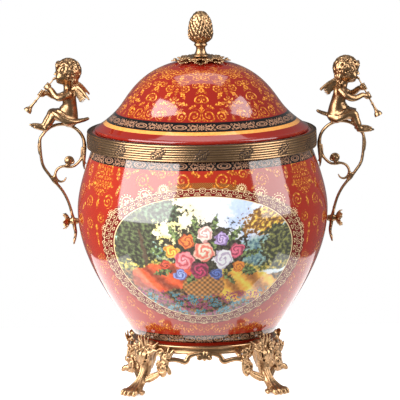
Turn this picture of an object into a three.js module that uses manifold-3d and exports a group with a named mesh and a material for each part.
// A lidded porcelain mantel urn in antique brass mounts, standing on four paw feet.
// Millimetres, +Z up, origin on the urn's axis at the level of the feet. The front faces -Y.
import * as THREE from "three";
import { mergeVertices } from "three/addons/utils/BufferGeometryUtils.js";
import Module from "manifold-3d";

const wasm = await Module();
wasm.setup();

// Driving dimensions
const FIT = 0.3; // gap between pieces that touch
const SIDES_ROUND = 28; // facets of everything turned on the urn's axis
const CASTING_SLACK = 0.45; // how far facets may stray where a casting's parts are joined
const STAND_SLACK = 0.9;

const SEAT_HEIGHT = 47.5; // ledge in the stand's ring that carries the bowl
const RING_RADIUS = 76.5;
const RING_RISE = 4.2; // lip of the ring above the ledge
const RING_DROP = 4.8; // ring below the ledge
const RING_BORE = 54;
const RING_HOLLOW = 1.6; // groove round the outside of the ring

const BOWL_WALL = 5;
const BOWL_FLOOR = 7;
const BELLY_RADIUS = 132.9;
const BELLY_RISE = 140.2;
const FOOT_RADIUS = 70;
const FOOT_RISE = 4.2;
const FOOT_RECESS = 3;
const FOOT_RIM_WIDTH = 9;
const WAIST_RADIUS = 74.5; // where the belly starts above the foot
const WAIST_RISE = 7.2;
const NECK_RADIUS = 116.5;
const NECK_RISE = 207;
const NECK_HEIGHT = 17.2; // upright part under the rim

const BAND_HEIGHT = 17.9;
const BAND_DEPTH = 5.2; // brass rim band, outside the bowl's neck
const BAND_STANDS_PROUD = 0.7; // above the bowl's rim
const BAND_REEDS = 4;
const BAND_LIP = 2.6;
const REED_CUT = 1.1;

const LID_SETBACK = 2.9; // of the lid's edge from the outside of the neck
const LID_HEIGHT = 75.2;
const LID_WALL = 5;
const LID_EDGE = 3.6;
const LID_EDGE_ROUNDING = 1;
const LID_BRIM_SETBACK = 1.6; // where the flare starts, in from the edge
const LID_SHOULDER_RADIUS = 84;
const LID_SHOULDER_RISE = 29.7;
const LID_SKIRT_DROP = 7;
const LID_SKIRT_WIDTH = 4.5;
const LID_SKIRT_PLAY = 2; // slack between the skirt and the bowl's mouth

const COLLAR_RADIUS = 32;
const COLLAR_THICKNESS = 3.4;
const COLLAR_LEAVES = 8;
const COLLAR_RUFFLE = 2.4;
const FINIAL_HEIGHT = 48.6;
const FINIAL_FOOT_RADIUS = 8.2;
const CONE_RADIUS = 14.6;
const CONE_HEIGHT = 34;
const CONE_ROWS = 8;
const CONE_SCALES = 8; // scales in a row

const LOOP_RADIUS = 24.3; // the handle's open ring, to the middle of its wire
const LOOP_BELOW_RIM = 16.4; // its centre under the bowl's rim
const WIRE_HALF = 1.6;
const WIRE_DEEP = 2.3;
const ROSETTE_RADIUS = 9;
const ROSETTE_DEPTH = 9;
const ROSETTE_PETALS = 5;
const ROSETTE_BELOW_RIM = 96;

const CHERUB_HEIGHT = 68; // from its seat to its curls
const CHERUB_SEAT_LEFT = 11; // degrees from the top of the loop, towards the bowl
const CHERUB_SEAT_RIGHT = 8;
const CHERUB_LEAN_LEFT = 0; // degrees that the casting is tipped forward
const CHERUB_LEAN_RIGHT = 12;

const LEG_REACH = 108; // from the axis to the middle of a paw
const LEG_CREST_REACH = 84;
const PAW_HALF_WIDTH = 11;
const APRON_REACH = 88; // from the axis to the carved brackets beside each leg
const APRON_TURN = 15.3; // degrees between a leg and its bracket

// Sizes worked out from those
const footUnderside = SEAT_HEIGHT + FIT;
const rimHeight = footUnderside + NECK_RISE + NECK_HEIGHT;
const bandRadius = NECK_RADIUS + FIT + BAND_DEPTH;
const bandTop = rimHeight + BAND_STANDS_PROUD;
const bandBottom = bandTop - BAND_HEIGHT;
const lidUnderside = rimHeight + FIT;
const lidTop = lidUnderside + LID_HEIGHT;
const lidRadius = NECK_RADIUS - LID_SETBACK;
const loopHeight = rimHeight - LOOP_BELOW_RIM;
const loopReach = bandRadius + 2 * FIT + WIRE_HALF + LOOP_RADIUS;
const ringTop = SEAT_HEIGHT + RING_RISE;
const ringBottom = SEAT_HEIGHT - RING_DROP;
const rosetteHeight = rimHeight - ROSETTE_BELOW_RIM;

const porcelain = new THREE.MeshStandardMaterial({ color: 0xc8442a, roughness: 0.15, metalness: 0 });
const brass = new THREE.MeshStandardMaterial({ color: 0xa98150, roughness: 0.38, metalness: 1 });

// Closed geometry to a solid, a list of geometries to one solid, and a solid back to a named mesh
function solidFrom(geometry) {
  const bare = geometry.clone();
  bare.deleteAttribute("normal");
  bare.deleteAttribute("uv");
  const welded = mergeVertices(bare, 1e-4);
  return new wasm.Manifold(
    new wasm.Mesh({
      numProp: 3,
      vertProperties: welded.attributes.position.array,
      triVerts: new Uint32Array(welded.index.array),
    }),
  );
}

function joined(geometries) {
  return geometries.map(solidFrom).reduce((whole, piece) => whole.add(piece));
}

function named(name, solid, material) {
  const { vertProperties, triVerts } = solid.getMesh();
  const geometry = new THREE.BufferGeometry();
  geometry.setAttribute("position", new THREE.BufferAttribute(vertProperties, 3));
  geometry.setIndex(new THREE.BufferAttribute(triVerts, 1));
  geometry.computeVertexNormals();
  const mesh = new THREE.Mesh(geometry, material);
  mesh.name = name;
  return mesh;
}

// The same solid with fewer facets: a corner moves onto a neighbour where that shifts the surface
// by less than slack. Joined castings need it along the lines where their parts meet.
function eased(solid, slack) {
  const { vertProperties, triVerts } = solid.getMesh();
  const corners = [];
  for (let i = 0; i < vertProperties.length; i += 3)
    corners.push(new THREE.Vector3(vertProperties[i], vertProperties[i + 1], vertProperties[i + 2]));
  let faces = [];
  for (let i = 0; i < triVerts.length; i += 3) faces.push([triVerts[i], triVerts[i + 1], triVerts[i + 2]]);
  const normalOf = (face) => {
    const [a, b, c] = face.map((corner) => corners[corner]);
    return b.clone().sub(a).cross(c.clone().sub(a));
  };
  const SMALLEST = 1e-5;
  for (let pass = 0; pass < 12; pass++) {
    const around = corners.map(() => []);
    faces.forEach((face) => face.forEach((corner) => around[corner].push(face)));
    const neighbours = around.map((list) => new Set(list.flat()));
    const moves = [];
    neighbours.forEach((others, from) => {
      for (const to of others) {
        if (to === from) continue;
        let shift = 0;
        for (const face of around[from]) {
          const normal = normalOf(face);
          if (normal.length() < SMALLEST) continue;
          const step = corners[to].clone().sub(corners[from]);
          shift = Math.max(shift, Math.abs(normal.normalize().dot(step)));
        }
        if (shift < slack) moves.push([shift + 0.01 * corners[from].distanceTo(corners[to]), from, to]);
      }
    });
    moves.sort((a, b) => a[0] - b[0]);
    const touched = new Set();
    const replaced = new Map();
    for (const [, from, to] of moves) {
      if ([...neighbours[from], ...neighbours[to]].some((corner) => touched.has(corner))) continue;
      const shared = [...neighbours[from]].filter((c) => c !== from && c !== to && neighbours[to].has(c));
      if (shared.length !== 2) continue;
      const staying = around[from].filter((face) => !face.includes(to));
      const folds = staying.some((face) => {
        const before = normalOf(face);
        const after = normalOf(face.map((corner) => (corner === from ? to : corner)));
        return after.length() < SMALLEST || after.dot(before) < 0.25 * after.length() * before.length();
      });
      if (folds) continue;
      replaced.set(from, to);
      for (const corner of neighbours[from]) touched.add(corner);
      for (const corner of neighbours[to]) touched.add(corner);
    }
    if (replaced.size === 0) break;
    faces = faces
      .map((face) => face.map((corner) => replaced.get(corner) ?? corner))
      .filter(([a, b, c]) => a !== b && b !== c && c !== a);
  }
  const kept = new THREE.BufferGeometry();
  const places = faces.flat().flatMap((corner) => corners[corner].toArray());
  kept.setAttribute("position", new THREE.Float32BufferAttribute(places, 3));
  return solidFrom(kept);
}

// A closed outline of [radius, height] turned about the urn's axis
function turned(outline, sides = SIDES_ROUND) {
  const points = outline.map(([radius, height]) => new THREE.Vector2(radius, height));
  return new THREE.LatheGeometry(points, sides).rotateX(Math.PI / 2);
}

// A closed skin over oval sections, each [x, y, z, half width, half depth]. The half width lies
// along wide, and each end is closed by a point that stands out by a share of the section.
function limb(stations, { sides = 6, wide = [0, 1, 0], start = 0.6, end = 0.6 } = {}) {
  const skin = new THREE.SphereGeometry(1, sides, stations.length + 1);
  const centres = stations.map(([x, y, z]) => new THREE.Vector3(x, y, z));
  const last = stations.length - 1;
  const position = skin.attributes.position;
  for (let row = 0; row <= stations.length + 1; row++) {
    const at = Math.min(Math.max(row - 1, 0), last);
    const along = centres[Math.min(at + 1, last)].clone();
    along.sub(centres[Math.max(at - 1, 0)]).normalize();
    const across = new THREE.Vector3(...wide);
    across.addScaledVector(along, -across.dot(along)).normalize();
    const deep = along.clone().cross(across);
    const [, , , halfWidth, halfDepth] = stations[at];
    const isPole = row === 0 || row === stations.length + 1;
    const standOut = (row === 0 ? -start : end) * Math.min(halfWidth, halfDepth);
    for (let column = 0; column <= sides; column++) {
      const turn = (2 * Math.PI * (column % sides)) / sides;
      const point = centres[at].clone();
      if (isPole) point.addScaledVector(along, standOut);
      else {
        point.addScaledVector(across, -Math.cos(turn) * halfWidth);
        point.addScaledVector(deep, Math.sin(turn) * halfDepth);
      }
      position.setXYZ(row * (sides + 1) + column, point.x, point.y, point.z);
    }
  }
  return skin;
}

function ball(x, y, z, rx, ry, rz, sides = 8, rows = 6) {
  return new THREE.SphereGeometry(1, sides, rows).rotateX(Math.PI / 2).scale(rx, ry, rz).translate(x, y, z);
}

function turnedBy(geometries, degrees) {
  const angle = THREE.MathUtils.degToRad(degrees);
  return geometries.map((geometry) => geometry.clone().rotateZ(angle));
}

// Porcelain bowl: a foot, a belly in two sweeps and an upright neck, hollow to its floor
function sweep(corners, count) {
  const [a, b, c, d] = corners.map(([radius, height]) => new THREE.Vector2(radius, height));
  return new THREE.CubicBezierCurve(a, b, c, d).getPoints(count).map((p) => [p.x, p.y]);
}

function bellyOutline(grow) {
  const low = BELLY_RISE - WAIST_RISE;
  const high = NECK_RISE - BELLY_RISE;
  const swell = BELLY_RADIUS - WAIST_RADIUS;
  const lower = sweep(
    [
      [WAIST_RADIUS, WAIST_RISE],
      [WAIST_RADIUS + 0.41 * swell, WAIST_RISE + 0.286 * low],
      [BELLY_RADIUS, BELLY_RISE - 0.376 * low],
      [BELLY_RADIUS, BELLY_RISE],
    ],
    5,
  );
  const upper = sweep(
    [
      [BELLY_RADIUS, BELLY_RISE],
      [BELLY_RADIUS, BELLY_RISE + 0.33 * high],
      [NECK_RADIUS + 0.37 * (BELLY_RADIUS - NECK_RADIUS), NECK_RISE - 0.27 * high],
      [NECK_RADIUS, NECK_RISE],
    ],
    3,
  );
  return [...lower, ...upper.slice(1)].map(([radius, rise]) => [radius + grow, footUnderside + rise]);
}

function bowlRadiusAt(height) {
  const outline = [...bellyOutline(0), [NECK_RADIUS, rimHeight]];
  const above = outline.findIndex(([, z]) => z >= height);
  if (above <= 0) return outline[0][0];
  const [r0, z0] = outline[above - 1];
  const [r1, z1] = outline[above];
  return r0 + ((r1 - r0) * (height - z0)) / (z1 - z0);
}

function makeBowl() {
  const recess = footUnderside + FOOT_RECESS;
  const floor = recess + BOWL_FLOOR;
  const inside = bellyOutline(-BOWL_WALL).filter(([, z]) => z > floor + BOWL_WALL);
  inside.reverse();
  return turned([
    [0, recess],
    [FOOT_RADIUS - FOOT_RIM_WIDTH, recess],
    [FOOT_RADIUS - FOOT_RIM_WIDTH, footUnderside],
    [FOOT_RADIUS, footUnderside],
    [FOOT_RADIUS, footUnderside + FOOT_RISE],
    ...bellyOutline(0),
    [NECK_RADIUS, rimHeight],
    [NECK_RADIUS - BOWL_WALL, rimHeight],
    ...inside,
    [FOOT_RADIUS - 2 * BOWL_WALL, floor],
    [0, floor],
  ]);
}

// Brass rim band: even reeds between a foot fillet and a smooth upper lip
function makeBand() {
  const inner = NECK_RADIUS + FIT;
  const reeded = BAND_HEIGHT - 2 * BAND_LIP;
  const pitch = reeded / BAND_REEDS;
  const reeds = [];
  for (let reed = 0; reed < BAND_REEDS; reed++) {
    const bottom = bandBottom + BAND_LIP + reed * pitch;
    reeds.push([bandRadius - REED_CUT, bottom], [bandRadius, bottom + pitch / 2]);
  }
  const ring = turned([
    [inner, bandBottom],
    [bandRadius - REED_CUT, bandBottom],
    [bandRadius, bandBottom + BAND_LIP / 2],
    ...reeds,
    [bandRadius - REED_CUT, bandTop - BAND_LIP],
    [bandRadius, bandTop - BAND_LIP / 2],
    [bandRadius - REED_CUT, bandTop],
    [inner, bandTop],
    [inner, bandBottom],
  ]);
  return solidFrom(ring);
}

// Porcelain lid: a lipped edge, a hollow shoulder and a dome, with a skirt that finds the bowl's mouth
const LID_STEPS = 3;

function lidOutline(inset, count) {
  const shoulder = [LID_SHOULDER_RADIUS, LID_SHOULDER_RISE];
  const brim = lidRadius - LID_BRIM_SETBACK;
  const fall = brim - LID_SHOULDER_RADIUS;
  const climb = LID_SHOULDER_RISE - LID_EDGE;
  const flare = sweep(
    [
      [brim, LID_EDGE],
      [brim - 0.43 * fall, LID_EDGE + 0.29 * climb],
      [LID_SHOULDER_RADIUS + 0.21 * fall, LID_EDGE + 0.65 * climb],
      shoulder,
    ],
    count,
  );
  const rise = LID_HEIGHT - LID_SHOULDER_RISE;
  const dome = sweep(
    [
      shoulder,
      [0.88 * LID_SHOULDER_RADIUS, LID_SHOULDER_RISE + 0.31 * rise],
      [0.667 * LID_SHOULDER_RADIUS, LID_HEIGHT],
      [0, LID_HEIGHT],
    ],
    count + 1,
  );
  return [...flare, ...dome.slice(1)].map(([radius, height]) => [
    Math.max(radius - inset * (height < LID_HEIGHT - inset ? 1 : 0), 0),
    lidUnderside + height - (radius < 0.6 * LID_SHOULDER_RADIUS ? inset : 0),
  ]);
}

function makeLid() {
  const skirt = NECK_RADIUS - BOWL_WALL - LID_SKIRT_PLAY;
  const outside = lidOutline(0, LID_STEPS);
  const inside = lidOutline(LID_WALL, LID_STEPS).filter(([radius]) => radius < skirt - LID_SKIRT_WIDTH);
  inside.reverse();
  return turned([
    [skirt, lidUnderside - LID_SKIRT_DROP],
    [skirt, lidUnderside],
    [lidRadius - LID_EDGE_ROUNDING, lidUnderside],
    [lidRadius, lidUnderside + LID_EDGE_ROUNDING],
    [lidRadius, lidUnderside + LID_EDGE - LID_EDGE_ROUNDING],
    ...outside,
    ...inside,
    [skirt - LID_SKIRT_WIDTH, lidUnderside - LID_SKIRT_DROP],
    [skirt, lidUnderside - LID_SKIRT_DROP],
  ]);
}

function lidHeightAt(radius) {
  const outline = lidOutline(0, LID_STEPS);
  const past = outline.findIndex(([r]) => r <= radius);
  const [r0, z0] = outline[past - 1];
  const [r1, z1] = outline[past];
  return z0 + ((z1 - z0) * (r0 - radius)) / (r0 - r1);
}

// Brass collar of ruffled leaves that lies on the dome, and the pine cone that stands on it
const collarTop = lidTop + FIT + COLLAR_THICKNESS;

function makeCollar() {
  const under = [1, 0.75, 0.45, 0].map((share) => {
    const radius = share * COLLAR_RADIUS;
    return [radius, lidHeightAt(radius + 0.01) + 2 * FIT];
  });
  const over = under.map(([radius, z], i) => [radius * 0.985, z + COLLAR_THICKNESS * [0.45, 1, 0.8, 0][i]]);
  const tip = [COLLAR_RADIUS, under[0][1] + COLLAR_THICKNESS * 0.35];
  over[3] = [0, collarTop];
  over[2] = [0.3 * COLLAR_RADIUS, collarTop];
  const outline = [...under.slice().reverse(), tip, ...over];
  const leaves = turned(outline, 3 * COLLAR_LEAVES);
  const position = leaves.attributes.position;
  for (let i = 0; i < position.count; i++) {
    const x = position.getX(i);
    const y = position.getY(i);
    const radius = Math.hypot(x, y);
    const reach = Math.max(0, radius / COLLAR_RADIUS - 0.4) / 0.6;
    const wave = Math.cos(COLLAR_LEAVES * Math.atan2(y, x));
    const scale = radius > 0 ? 1 + (COLLAR_RUFFLE * reach * (wave - 1)) / radius : 1;
    const lift = 0.35 * COLLAR_RUFFLE * reach * (1 - wave);
    position.setXYZ(i, x * scale, y * scale, position.getZ(i) + lift);
  }
  return leaves;
}

function makeFinial() {
  const foot = collarTop + FIT;
  const coneBottom = foot + FINIAL_HEIGHT - CONE_HEIGHT;
  const stem = turned(
    [
      [0, foot],
      [FINIAL_FOOT_RADIUS, foot],
      [FINIAL_FOOT_RADIUS, foot + 2],
      [5.6, foot + 5],
      [5.3, coneBottom - 5],
      [8.4, coneBottom - 2.4],
      [8.4, coneBottom - 0.8],
      [6, coneBottom + 2],
      [0, coneBottom + 2],
    ],
    8,
  );
  const columns = 2 * CONE_SCALES;
  const cone = new THREE.SphereGeometry(1, columns, CONE_ROWS + 1).rotateX(Math.PI / 2);
  const position = cone.attributes.position;
  for (let row = 0; row <= CONE_ROWS + 1; row++) {
    for (let column = 0; column <= columns; column++) {
      const i = row * (columns + 1) + column;
      const share = 1 - row / (CONE_ROWS + 1);
      const fullness = Math.sin(Math.PI * Math.pow(share, 0.78)) ** 0.62;
      const proud = (row + column) % 2 ? 1 : 0.84;
      const turn = (2 * Math.PI * (column % columns)) / columns;
      const radius = row === 0 || row === CONE_ROWS + 1 ? 0 : CONE_RADIUS * fullness * proud;
      position.setXYZ(
        i,
        -Math.cos(turn) * radius,
        -Math.sin(turn) * radius,
        coneBottom + share * CONE_HEIGHT,
      );
    }
  }
  return joined([stem, cone]);
}

// Brass scroll handle. Places are [reach from the axis, height]; way is 1 for the right one, -1 for the left.
function loopPoint(degrees, radius = LOOP_RADIUS) {
  const angle = THREE.MathUtils.degToRad(degrees);
  return [loopReach - radius * Math.cos(angle), loopHeight + radius * Math.sin(angle)];
}

// A place under the loop: its stand-off from the bowl in loop radii, and its share of the way down
// from the loop's middle to the rosette
function hungPoint(standOff, share) {
  const height = loopHeight - share * (loopHeight - rosetteHeight);
  return [bowlRadiusAt(height) + standOff * LOOP_RADIUS, height];
}

function handleStations(way, places) {
  return places.map(([reach, height, halfDepth, halfWidth]) => [way * reach, 0, height, halfDepth, halfWidth]);
}

function loopStations(way, grow = 0) {
  const places = [];
  for (let degrees = -30; degrees <= 210; degrees += 24)
    places.push([...loopPoint(degrees), WIRE_DEEP + grow, WIRE_HALF + grow]);
  const stem = [
    [1.438, 0.4],
    [1.06, 0.495],
    [0.769, 0.59],
    [0.538, 0.69],
    [0.386, 0.79],
    [0.272, 0.874],
  ];
  for (const [standOff, share] of stem)
    places.push([...hungPoint(standOff, share), WIRE_DEEP + grow, WIRE_HALF + grow]);
  places.push([...hungPoint(0.173, 1), 1.4 * WIRE_DEEP + grow, WIRE_HALF + grow]);
  places.push([...hungPoint(0.132, 1.144), 1.5 * WIRE_DEEP + grow, WIRE_HALF + grow]);
  places.push([...hungPoint(0.173, 1.314), 0.7 * WIRE_DEEP + grow, 0.7 * WIRE_HALF + grow]);
  return handleStations(way, places);
}

function makeHandle(way) {
  const strand = [
    [...hungPoint(0.331, 0.06), 1.9, 1.4],
    [...hungPoint(0.336, 0.19), 1.9, 1.4],
    [...hungPoint(0.556, 0.262), 1.9, 1.5],
    [...hungPoint(0.89, 0.25), 1.9, 1.5],
    [...hungPoint(1.128, 0.27), 1.9, 1.4],
    [...hungPoint(1.248, 0.335), 1.9, 1.4],
    [...hungPoint(1.174, 0.415), 1.9, 1.4],
    [...hungPoint(0.983, 0.46), 1.9, 1.3],
    [...hungPoint(0.782, 0.45), 1.7, 1.1],
    [...hungPoint(0.719, 0.41), 1.2, 0.8],
  ];
  const curl = [
    [...hungPoint(0.95, 0.25), 1.9, 1.3],
    [...hungPoint(1.016, 0.19), 1.9, 1.3],
    [...hungPoint(1.023, 0.13), 2, 1.4],
    [...hungPoint(0.897, 0.1), 2.2, 1.5],
    [...hungPoint(0.712, 0.14), 2.4, 1.6],
  ];
  const [eyeReach, eyeHeight] = hungPoint(0.824, 0.165);
  const leafTop = loopPoint(14);
  const [, leafFoot] = hungPoint(0, 0.265);
  const leaf = [
    [leafTop[0], leafTop[1] + 3, 1.6, WIRE_HALF],
    [bandRadius + 2 * FIT + 1.9, loopHeight - 3, 4.4, 1.9],
    [bandRadius + 2 * FIT + 2.2, loopHeight - 12, 4, 2],
    [bowlRadiusAt(leafFoot) + FIT + 1.9, leafFoot, 1.4, 1.3],
  ];
  const bossReach = bowlRadiusAt(rosetteHeight);
  const boss = [-1.5, 3.5].map((standOff) => [bossReach + standOff, rosetteHeight, 3, 3]);
  const casting = joined([
    limb(loopStations(way), { sides: 5 }),
    limb(handleStations(way, strand), { sides: 4 }),
    limb(handleStations(way, curl), { sides: 4 }),
    ball(way * eyeReach, 0, eyeHeight, 3.4, 3, 3.4, 6, 4),
    limb(handleStations(way, leaf), { sides: 4 }),
    limb(handleStations(way, boss), { sides: 5 }),
  ]);
  const clear = turned([
    [0, footUnderside],
    ...bellyOutline(FIT),
    [NECK_RADIUS + FIT, bandBottom - FIT],
    [bandRadius + FIT, bandBottom - FIT],
    [bandRadius + FIT, bandTop],
    [0, bandTop],
  ]);
  return eased(casting, 0.25 * CASTING_SLACK).subtract(solidFrom(clear));
}

// Flower-headed nut that clamps the foot of a handle
function makeRosette(way) {
  const height = rosetteHeight;
  const seat = hungPoint(0.202, 0.957)[0] + WIRE_HALF + FIT;
  const petals = [limb(
    [
      [way * (seat + 0.1), 0, height, 3.4, 3.4],
      [way * (seat + 0.55 * ROSETTE_DEPTH), 0, height, 3.2, 3.2],
    ],
    { sides: 6, start: 0, end: 0.7 },
  )];
  for (let i = 0; i < ROSETTE_PETALS; i++) {
    const angle = (2 * Math.PI * (i + 0.25)) / ROSETTE_PETALS;
    const out = [Math.sin(angle), Math.cos(angle)];
    const station = (share, away, halfWidth, halfDepth) => [
      way * (seat + away * ROSETTE_DEPTH),
      out[0] * share * ROSETTE_RADIUS,
      height + out[1] * share * ROSETTE_RADIUS,
      halfWidth,
      halfDepth,
    ];
    petals.push(
      limb(
        [station(0.12, 0.3, 1.6, 1.2), station(0.6, 0.38, 3.3, 1.1), station(0.94, 0.62, 2.2, 0.8)],
        { sides: 4, wide: [0, out[1], -out[0]] },
      ),
    );
  }
  return eased(joined(petals), 0.4 * CASTING_SLACK);
}

// Winged child who sits on the loop and blows a trumpet, one casting used twice.
// It faces +X, its left is +Y, and its places are shares of its height.
function makeCherub(way, seatDegrees, leanDegrees) {
  const h = CHERUB_HEIGHT;
  const scaled = (rows) => rows.map((row) => row.map((value) => value * h));
  const parts = [];
  const add = (rows, options) => parts.push(limb(scaled(rows), options));
  const blob = (x, y, z, rx, ry, rz, sides, rows) =>
    parts.push(ball(x * h, y * h, z * h, rx * h, ry * h, rz * h, sides, rows));

  // torso, neck and head, with a round belly and a double chin
  add(
    [
      [-0.055, 0, 0.06, 0.15, 0.13],
      [-0.05, 0, 0.19, 0.135, 0.125],
      [-0.062, 0, 0.31, 0.125, 0.105],
      [-0.05, 0, 0.42, 0.15, 0.105],
      [-0.04, 0, 0.5, 0.125, 0.085],
      [-0.03, 0, 0.56, 0.062, 0.062],
      [-0.02, 0, 0.68, 0.07, 0.07],
    ],
    { sides: 8 },
  );
  // head under a cap of curls, which are raised in turn round it, with a forelock and full cheeks
  const HEAD_SIDES = 12;
  const HEAD_ROWS = 8;
  const head = new THREE.SphereGeometry(1, HEAD_SIDES, HEAD_ROWS).rotateX(Math.PI / 2);
  const position = head.attributes.position;
  for (let row = 0; row <= HEAD_ROWS; row++)
    for (let column = 0; column <= HEAD_SIDES; column++) {
      const i = row * (HEAD_SIDES + 1) + column;
      const direction = new THREE.Vector3().fromBufferAttribute(position, i);
      const isFace = direction.x > 0.55 && direction.z < 0.45;
      const isPole = row === 0 || row === HEAD_ROWS;
      const proud = isPole ? 1.05 : isFace ? 0.94 : (row + column) % 2 ? 1.13 : 0.97;
      direction.multiply(new THREE.Vector3(0.168, 0.155, 0.172)).multiplyScalar(proud * h);
      position.setXYZ(i, direction.x, direction.y, direction.z + 0.79 * h);
    }
  parts.push(head);
  blob(0.14, 0, 0.91, 0.062, 0.06, 0.06, 5, 4);
  blob(0.125, 0, 0.715, 0.062, 0.105, 0.062, 7, 4);

  // arms, both hands on the trumpet
  const mouth = [0.19, 0, 0.695];
  const bell = [0.615, 0, 0.19];
  const along = (share) => mouth.map((value, i) => value + share * (bell[i] - value));
  const upperHand = along(0.24);
  const lowerHand = along(0.44);
  add(
    [
      [-0.04, 0.13, 0.475, 0.06, 0.06],
      [0.03, 0.175, 0.44, 0.055, 0.055],
      [0.125, 0.165, 0.425, 0.052, 0.052],
      [0.2, 0.11, 0.49, 0.045, 0.045],
      [upperHand[0] + 0.005, 0.03, upperHand[2] + 0.01, 0.04, 0.045],
    ],
    { sides: 5, wide: [0, 0, 1] },
  );
  add(
    [
      [-0.04, -0.13, 0.475, 0.06, 0.06],
      [0.04, -0.18, 0.42, 0.055, 0.055],
      [0.15, -0.16, 0.395, 0.052, 0.052],
      [0.26, -0.09, 0.435, 0.045, 0.045],
      [lowerHand[0] + 0.005, -0.025, lowerHand[2] + 0.01, 0.04, 0.045],
    ],
    { sides: 5, wide: [0, 0, 1] },
  );
  add(
    [
      [...along(-0.02), 0.014, 0.014],
      [...along(0.82), 0.026, 0.026],
      [...along(0.93), 0.045, 0.045],
      [...along(1), 0.075, 0.075],
    ],
    { sides: 5, end: -0.5 },
  );

  // legs: the left one nearer the knee's drape, the right one a little forward
  const leg = (side, spread, forward) => [
    [0.0, side * 0.075, 0.09, 0.085, 0.085],
    [0.19 + forward, side * (0.1 + spread), 0.135, 0.066, 0.07],
    [0.25 + forward, side * (0.1 + spread), 0.07, 0.06, 0.06],
    [0.31 + forward, side * (0.095 + spread), -0.01, 0.048, 0.046],
    [0.335 + forward, side * (0.09 + spread), -0.055, 0.042, 0.042],
  ];
  const foot = (side, spread, forward) => [
    [0.325 + forward, side * (0.09 + spread), -0.07, 0.038, 0.035],
    [0.43 + forward, side * (0.095 + spread), -0.05, 0.045, 0.03],
    [0.52 + forward, side * (0.1 + spread), -0.035, 0.042, 0.02],
  ];
  add(leg(1, 0.0, 0), { wide: [0, 1, 0] });
  add(foot(1, 0.0, 0), { sides: 6, wide: [0, 1, 0] });
  add(leg(-1, 0.03, 0.03), { wide: [0, 1, 0] });
  add(foot(-1, 0.03, 0.03), { sides: 6, wide: [0, 1, 0] });

  // drape over the lap, folded across the left hip, with its end trailing behind
  for (let fold = 0; fold < 2; fold++) {
    const drop = 0.08 * fold;
    add(
      [
        [0.2 - 0.07 * fold, 0.13, 0.185 - drop, 0.04, 0.035],
        [0.07 - 0.03 * fold, 0.16, 0.14 - drop, 0.045, 0.035],
        [-0.08, 0.16, 0.08 - drop * 0.45, 0.05, 0.035],
        [-0.32, 0.04, 0.05 - drop * 0.1, 0.035, 0.024],
      ],
      { sides: 4, wide: [0, 1, 0] },
    );
  }
  add(
    [
      [0.2, 0.02, 0.15, 0.13, 0.07],
      [0.08, 0, 0.12, 0.17, 0.085],
      [-0.06, 0, 0.055, 0.175, 0.065],
      [-0.17, 0.02, 0.03, 0.12, 0.04],
    ],
    { sides: 6, wide: [0, 1, 0], end: 1.2 },
  );

  // wings: a rounded shoulder and long feathers, spread from the back
  for (const side of [1, -1]) {
    const outline = new THREE.Shape();
    outline.moveTo(0.02 * h, 0.09 * h);
    outline.lineTo(-0.07 * h, 0.115 * h);
    outline.lineTo(-0.16 * h, 0.06 * h);
    outline.lineTo(-0.325 * h, -0.1 * h);
    outline.lineTo(-0.24 * h, -0.085 * h);
    outline.lineTo(-0.27 * h, -0.145 * h);
    outline.lineTo(-0.16 * h, -0.11 * h);
    outline.lineTo(-0.15 * h, -0.16 * h);
    outline.lineTo(0.02 * h, -0.03 * h);
    const thick = 0.026 * h;
    const wing = new THREE.ExtrudeGeometry(outline, { depth: thick, bevelEnabled: false });
    wing.translate(0, 0, -thick / 2).rotateX(Math.PI / 2);
    wing.rotateZ(-side * 0.55);
    wing.translate(-0.11 * h, side * 0.055 * h, (0.47 + 0.035 * (1 - side) * 0.5) * h);
    parts.push(wing);
  }

  const figure = eased(joined(parts), CASTING_SLACK);
  const [seatReach, seatHeight] = loopPoint(90 - seatDegrees, LOOP_RADIUS + WIRE_HALF + FIT);
  const place = new THREE.Matrix4().makeTranslation(way * seatReach, 0, seatHeight);
  if (way < 0) place.multiply(new THREE.Matrix4().makeRotationZ(Math.PI));
  place.multiply(new THREE.Matrix4().makeRotationY(THREE.MathUtils.degToRad(leanDegrees)));
  const placed = named("", figure, brass).geometry.applyMatrix4(place);
  const clear = limb(loopStations(way, FIT), { sides: 5 });
  return solidFrom(placed).subtract(solidFrom(clear));
}

// Cast brass stand: a ring with a ledge for the bowl, four paw legs, a pair of carved brackets
// beside each leg, and a pair of scrolls in the middle of each side
function scroll(centre, reach, from, turns, halfWidth, halfDepth) {
  const steps = 5;
  const stations = [];
  for (let i = 0; i <= steps; i++) {
    const share = i / steps;
    const angle = THREE.MathUtils.degToRad(from + 360 * turns * share);
    const radius = reach * (1 - 0.72 * share);
    stations.push([
      centre[0],
      centre[1] + radius * Math.cos(angle),
      centre[2] + radius * Math.sin(angle),
      halfWidth,
      halfDepth * (1 - 0.25 * share),
    ]);
  }
  return limb(stations, { sides: 3, wide: [1, 0, 0] });
}

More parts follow.
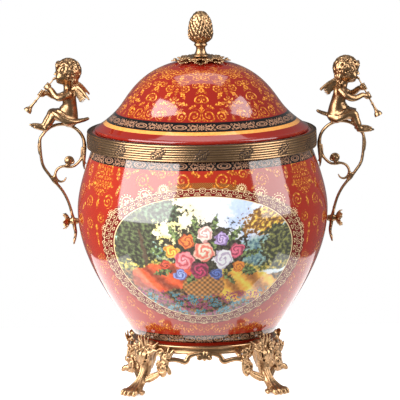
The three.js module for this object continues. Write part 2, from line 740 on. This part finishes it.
function pawLeg() {
  const crest = LEG_CREST_REACH;
  const stride = LEG_REACH - crest;
  const top = ringTop;
  const parts = [
    limb(
      [
        [crest - 3, 0, 0.95 * top, 8.5, 7],
        [crest + 3, 0, 0.8 * top, 8, 7.6],
        [crest + 2, 0, 0.62 * top, 5.4, 6.6],
        [crest + 0.2 * stride, 0, 0.42 * top, 4.6, 5.4],
        [crest + 0.55 * stride, 0, 0.22 * top, 5, 5],
        [LEG_REACH - 4, 0, 0.09 * top, 8.4, 5.4],
        [LEG_REACH + 5, 0, 0.07 * top, PAW_HALF_WIDTH - 1.6, 4.6],
      ],
      { sides: 6 },
    ),
    limb(
      [
        [crest + 7.6, 0, 0.86 * top, 8, 2.6],
        [crest + 7.6, 0, 0.62 * top, 4.4, 2],
      ],
      { sides: 4 },
    ),
  ];
  for (let toe = 0; toe < 4; toe++) {
    const across = (toe - 1.5) / 1.5;
    const y = across * (PAW_HALF_WIDTH - 2.6);
    const reach = LEG_REACH + 9.4 - 2.2 * Math.abs(across);
    const stations = [
      [reach - 5, 0.85 * y, 5.2, 2.7, 2.9],
      [reach + 1, 1.05 * y, 2.4, 2.6, 3],
    ];
    parts.push(limb(stations, { sides: 4 }));
  }
  // pronged leaves and an eye on each side at the knee
  for (const [y, out, rise, lean] of [
    [-9, 1, 0.21, -4],
    [0, 3, 0.28, 0],
    [9, 1, 0.21, 4],
  ]) {
    const stations = [
      [crest + out, 0.7 * y, 0.92 * top, 2.6, 2.4],
      [crest + 2.5 + out, y + lean, (1 + rise) * top, 1, 0.8],
    ];
    parts.push(limb(stations, { sides: 3 }));
  }
  for (const side of [1, -1]) parts.push(ball(crest + 6, side * 6.2, 0.97 * top, 3, 4.6, 4.6, 6, 3));
  return parts;
}

function bracket(side) {
  const turn = THREE.MathUtils.degToRad(APRON_TURN);
  const reach = APRON_REACH * Math.cos(turn);
  const off = side * APRON_REACH * Math.sin(turn);
  const away = (x, y, z) => [reach + x, off + side * y, z * ringTop];
  const stem = [
    [...away(-1, -1, 0.94), 4, 2.4],
    [...away(0.6, 0.6, 0.68), 6.4, 3.6],
    [...away(0.4, 1.2, 0.44), 5, 3],
  ];
  const [lobeX, lobeY, lobeZ] = away(0.6, 6.2, 0.47);
  const [eyeX, eyeY, eyeZ] = away(1.6, -1.6, 0.87);
  const parts = [
    limb(stem, { sides: 5, end: 1.1 }),
    ball(lobeX, lobeY, lobeZ, 2.7, 2.8, 3.2, 5, 3),
    ball(eyeX, eyeY, eyeZ, 3, 5, 5, 6, 3),
  ];
  // two prongs that rise in front of the ring
  for (const tip of [0.098, 0.17]) {
    const stations = [
      [...away(-0.5, 5.5, 0.76), 2.2, 2],
      [...away(0.5, tip * APRON_REACH, 1.04), 1, 0.8],
    ];
    parts.push(limb(stations, { sides: 3 }));
  }
  // bar to the knee and leaf to the shin
  const bar = [
    [LEG_CREST_REACH + 5, side * 7, 0.95 * ringTop, 2, 1.9],
    [...away(0.6, -3, 0.88), 2, 1.9],
  ];
  const leaf = [
    [LEG_CREST_REACH + 0.42 * (LEG_REACH - LEG_CREST_REACH), side * 2, 0.27 * ringTop, 2.2, 2.6],
    [...away(2.5, -11, 0.33), 2.6, 3.2],
    [...away(1.4, -2, 0.45), 2.2, 2],
  ];
  parts.push(limb(bar, { sides: 4, wide: [1, 0, 0] }), limb(leaf, { sides: 4, wide: [1, 0, 0] }));
  return parts;
}

// Struts and scrolls in the middle of one side, made for the side that faces +X
function sideScroll() {
  const turn = THREE.MathUtils.degToRad(45 - APRON_TURN);
  const reach = APRON_REACH * Math.cos(turn);
  const off = APRON_REACH * Math.sin(turn);
  const top = ringTop;
  const parts = [];
  for (const side of [1, -1]) {
    const strut = [
      [reach, side * (off - 3), 0.72 * top, 2.2, 2.2],
      [reach + 0.6, side * (0.48 * off), 0.66 * top, 2, 2],
      [reach + 0.4, side * (0.38 * off), 0.82 * top, 2.2, 1.8],
      [RING_RADIUS, side * 0.08 * off, 0.88 * top, 2.6, 1.8],
    ];
    parts.push(limb(strut, { sides: 4, wide: [1, 0, 0] }));
    parts.push(scroll([RING_RADIUS + 1.2, side * 5.4, 0.79 * top], 4, 90, -side * 1.1, 2.4, 1.6));
  }
  return parts;
}

function makeStand() {
  const bore = FOOT_RADIUS + FIT;
  const ring = turned([
    [RING_BORE, ringBottom],
    [RING_RADIUS, ringBottom],
    [RING_RADIUS - RING_HOLLOW, (ringBottom + ringTop) / 2],
    [RING_RADIUS, ringTop],
    [bore, ringTop],
    [bore, SEAT_HEIGHT],
    [RING_BORE, SEAT_HEIGHT],
    [RING_BORE, ringBottom],
  ]);
  const cluster = [...pawLeg(), ...bracket(1), ...bracket(-1)];
  const corner = joined(turnedBy(cluster, 45));
  const side = joined(sideScroll());
  const quarter = named("", eased(corner.add(side), STAND_SLACK), brass).geometry;
  const quarters = [0, 90, 180, 270].flatMap((degrees) => turnedBy([quarter], degrees));
  const under = new THREE.BoxGeometry(4 * LEG_REACH, 4 * LEG_REACH, 2 * SEAT_HEIGHT);
  under.translate(0, 0, -SEAT_HEIGHT);
  const foot = turned([
    [0, SEAT_HEIGHT],
    [bore, SEAT_HEIGHT],
    [bore, footUnderside + FOOT_RISE - FIT],
    ...bellyOutline(2 * FIT).slice(0, 4),
    [0, footUnderside + BELLY_RISE / 2],
  ]);
  return joined([ring, ...quarters]).subtract(solidFrom(under)).subtract(solidFrom(foot));
}

const urn = new THREE.Group();
urn.add(
  named("base_stand", makeStand(), brass),
  named("bowl", solidFrom(makeBowl()), porcelain),
  named("rim_band", makeBand(), brass),
  named("lid", solidFrom(makeLid()), porcelain),
  named("leaf_collar", solidFrom(makeCollar()), brass),
  named("pinecone_finial", makeFinial(), brass),
  named("handle_left", makeHandle(-1), brass),
  named("handle_right", makeHandle(1), brass),
  named("rosette_left", makeRosette(-1), brass),
  named("rosette_right", makeRosette(1), brass),
  named("cherub_left", makeCherub(-1, CHERUB_SEAT_LEFT, CHERUB_LEAN_LEFT), brass),
  named("cherub_right", makeCherub(1, CHERUB_SEAT_RIGHT, CHERUB_LEAN_RIGHT), brass),
);
export default urn;
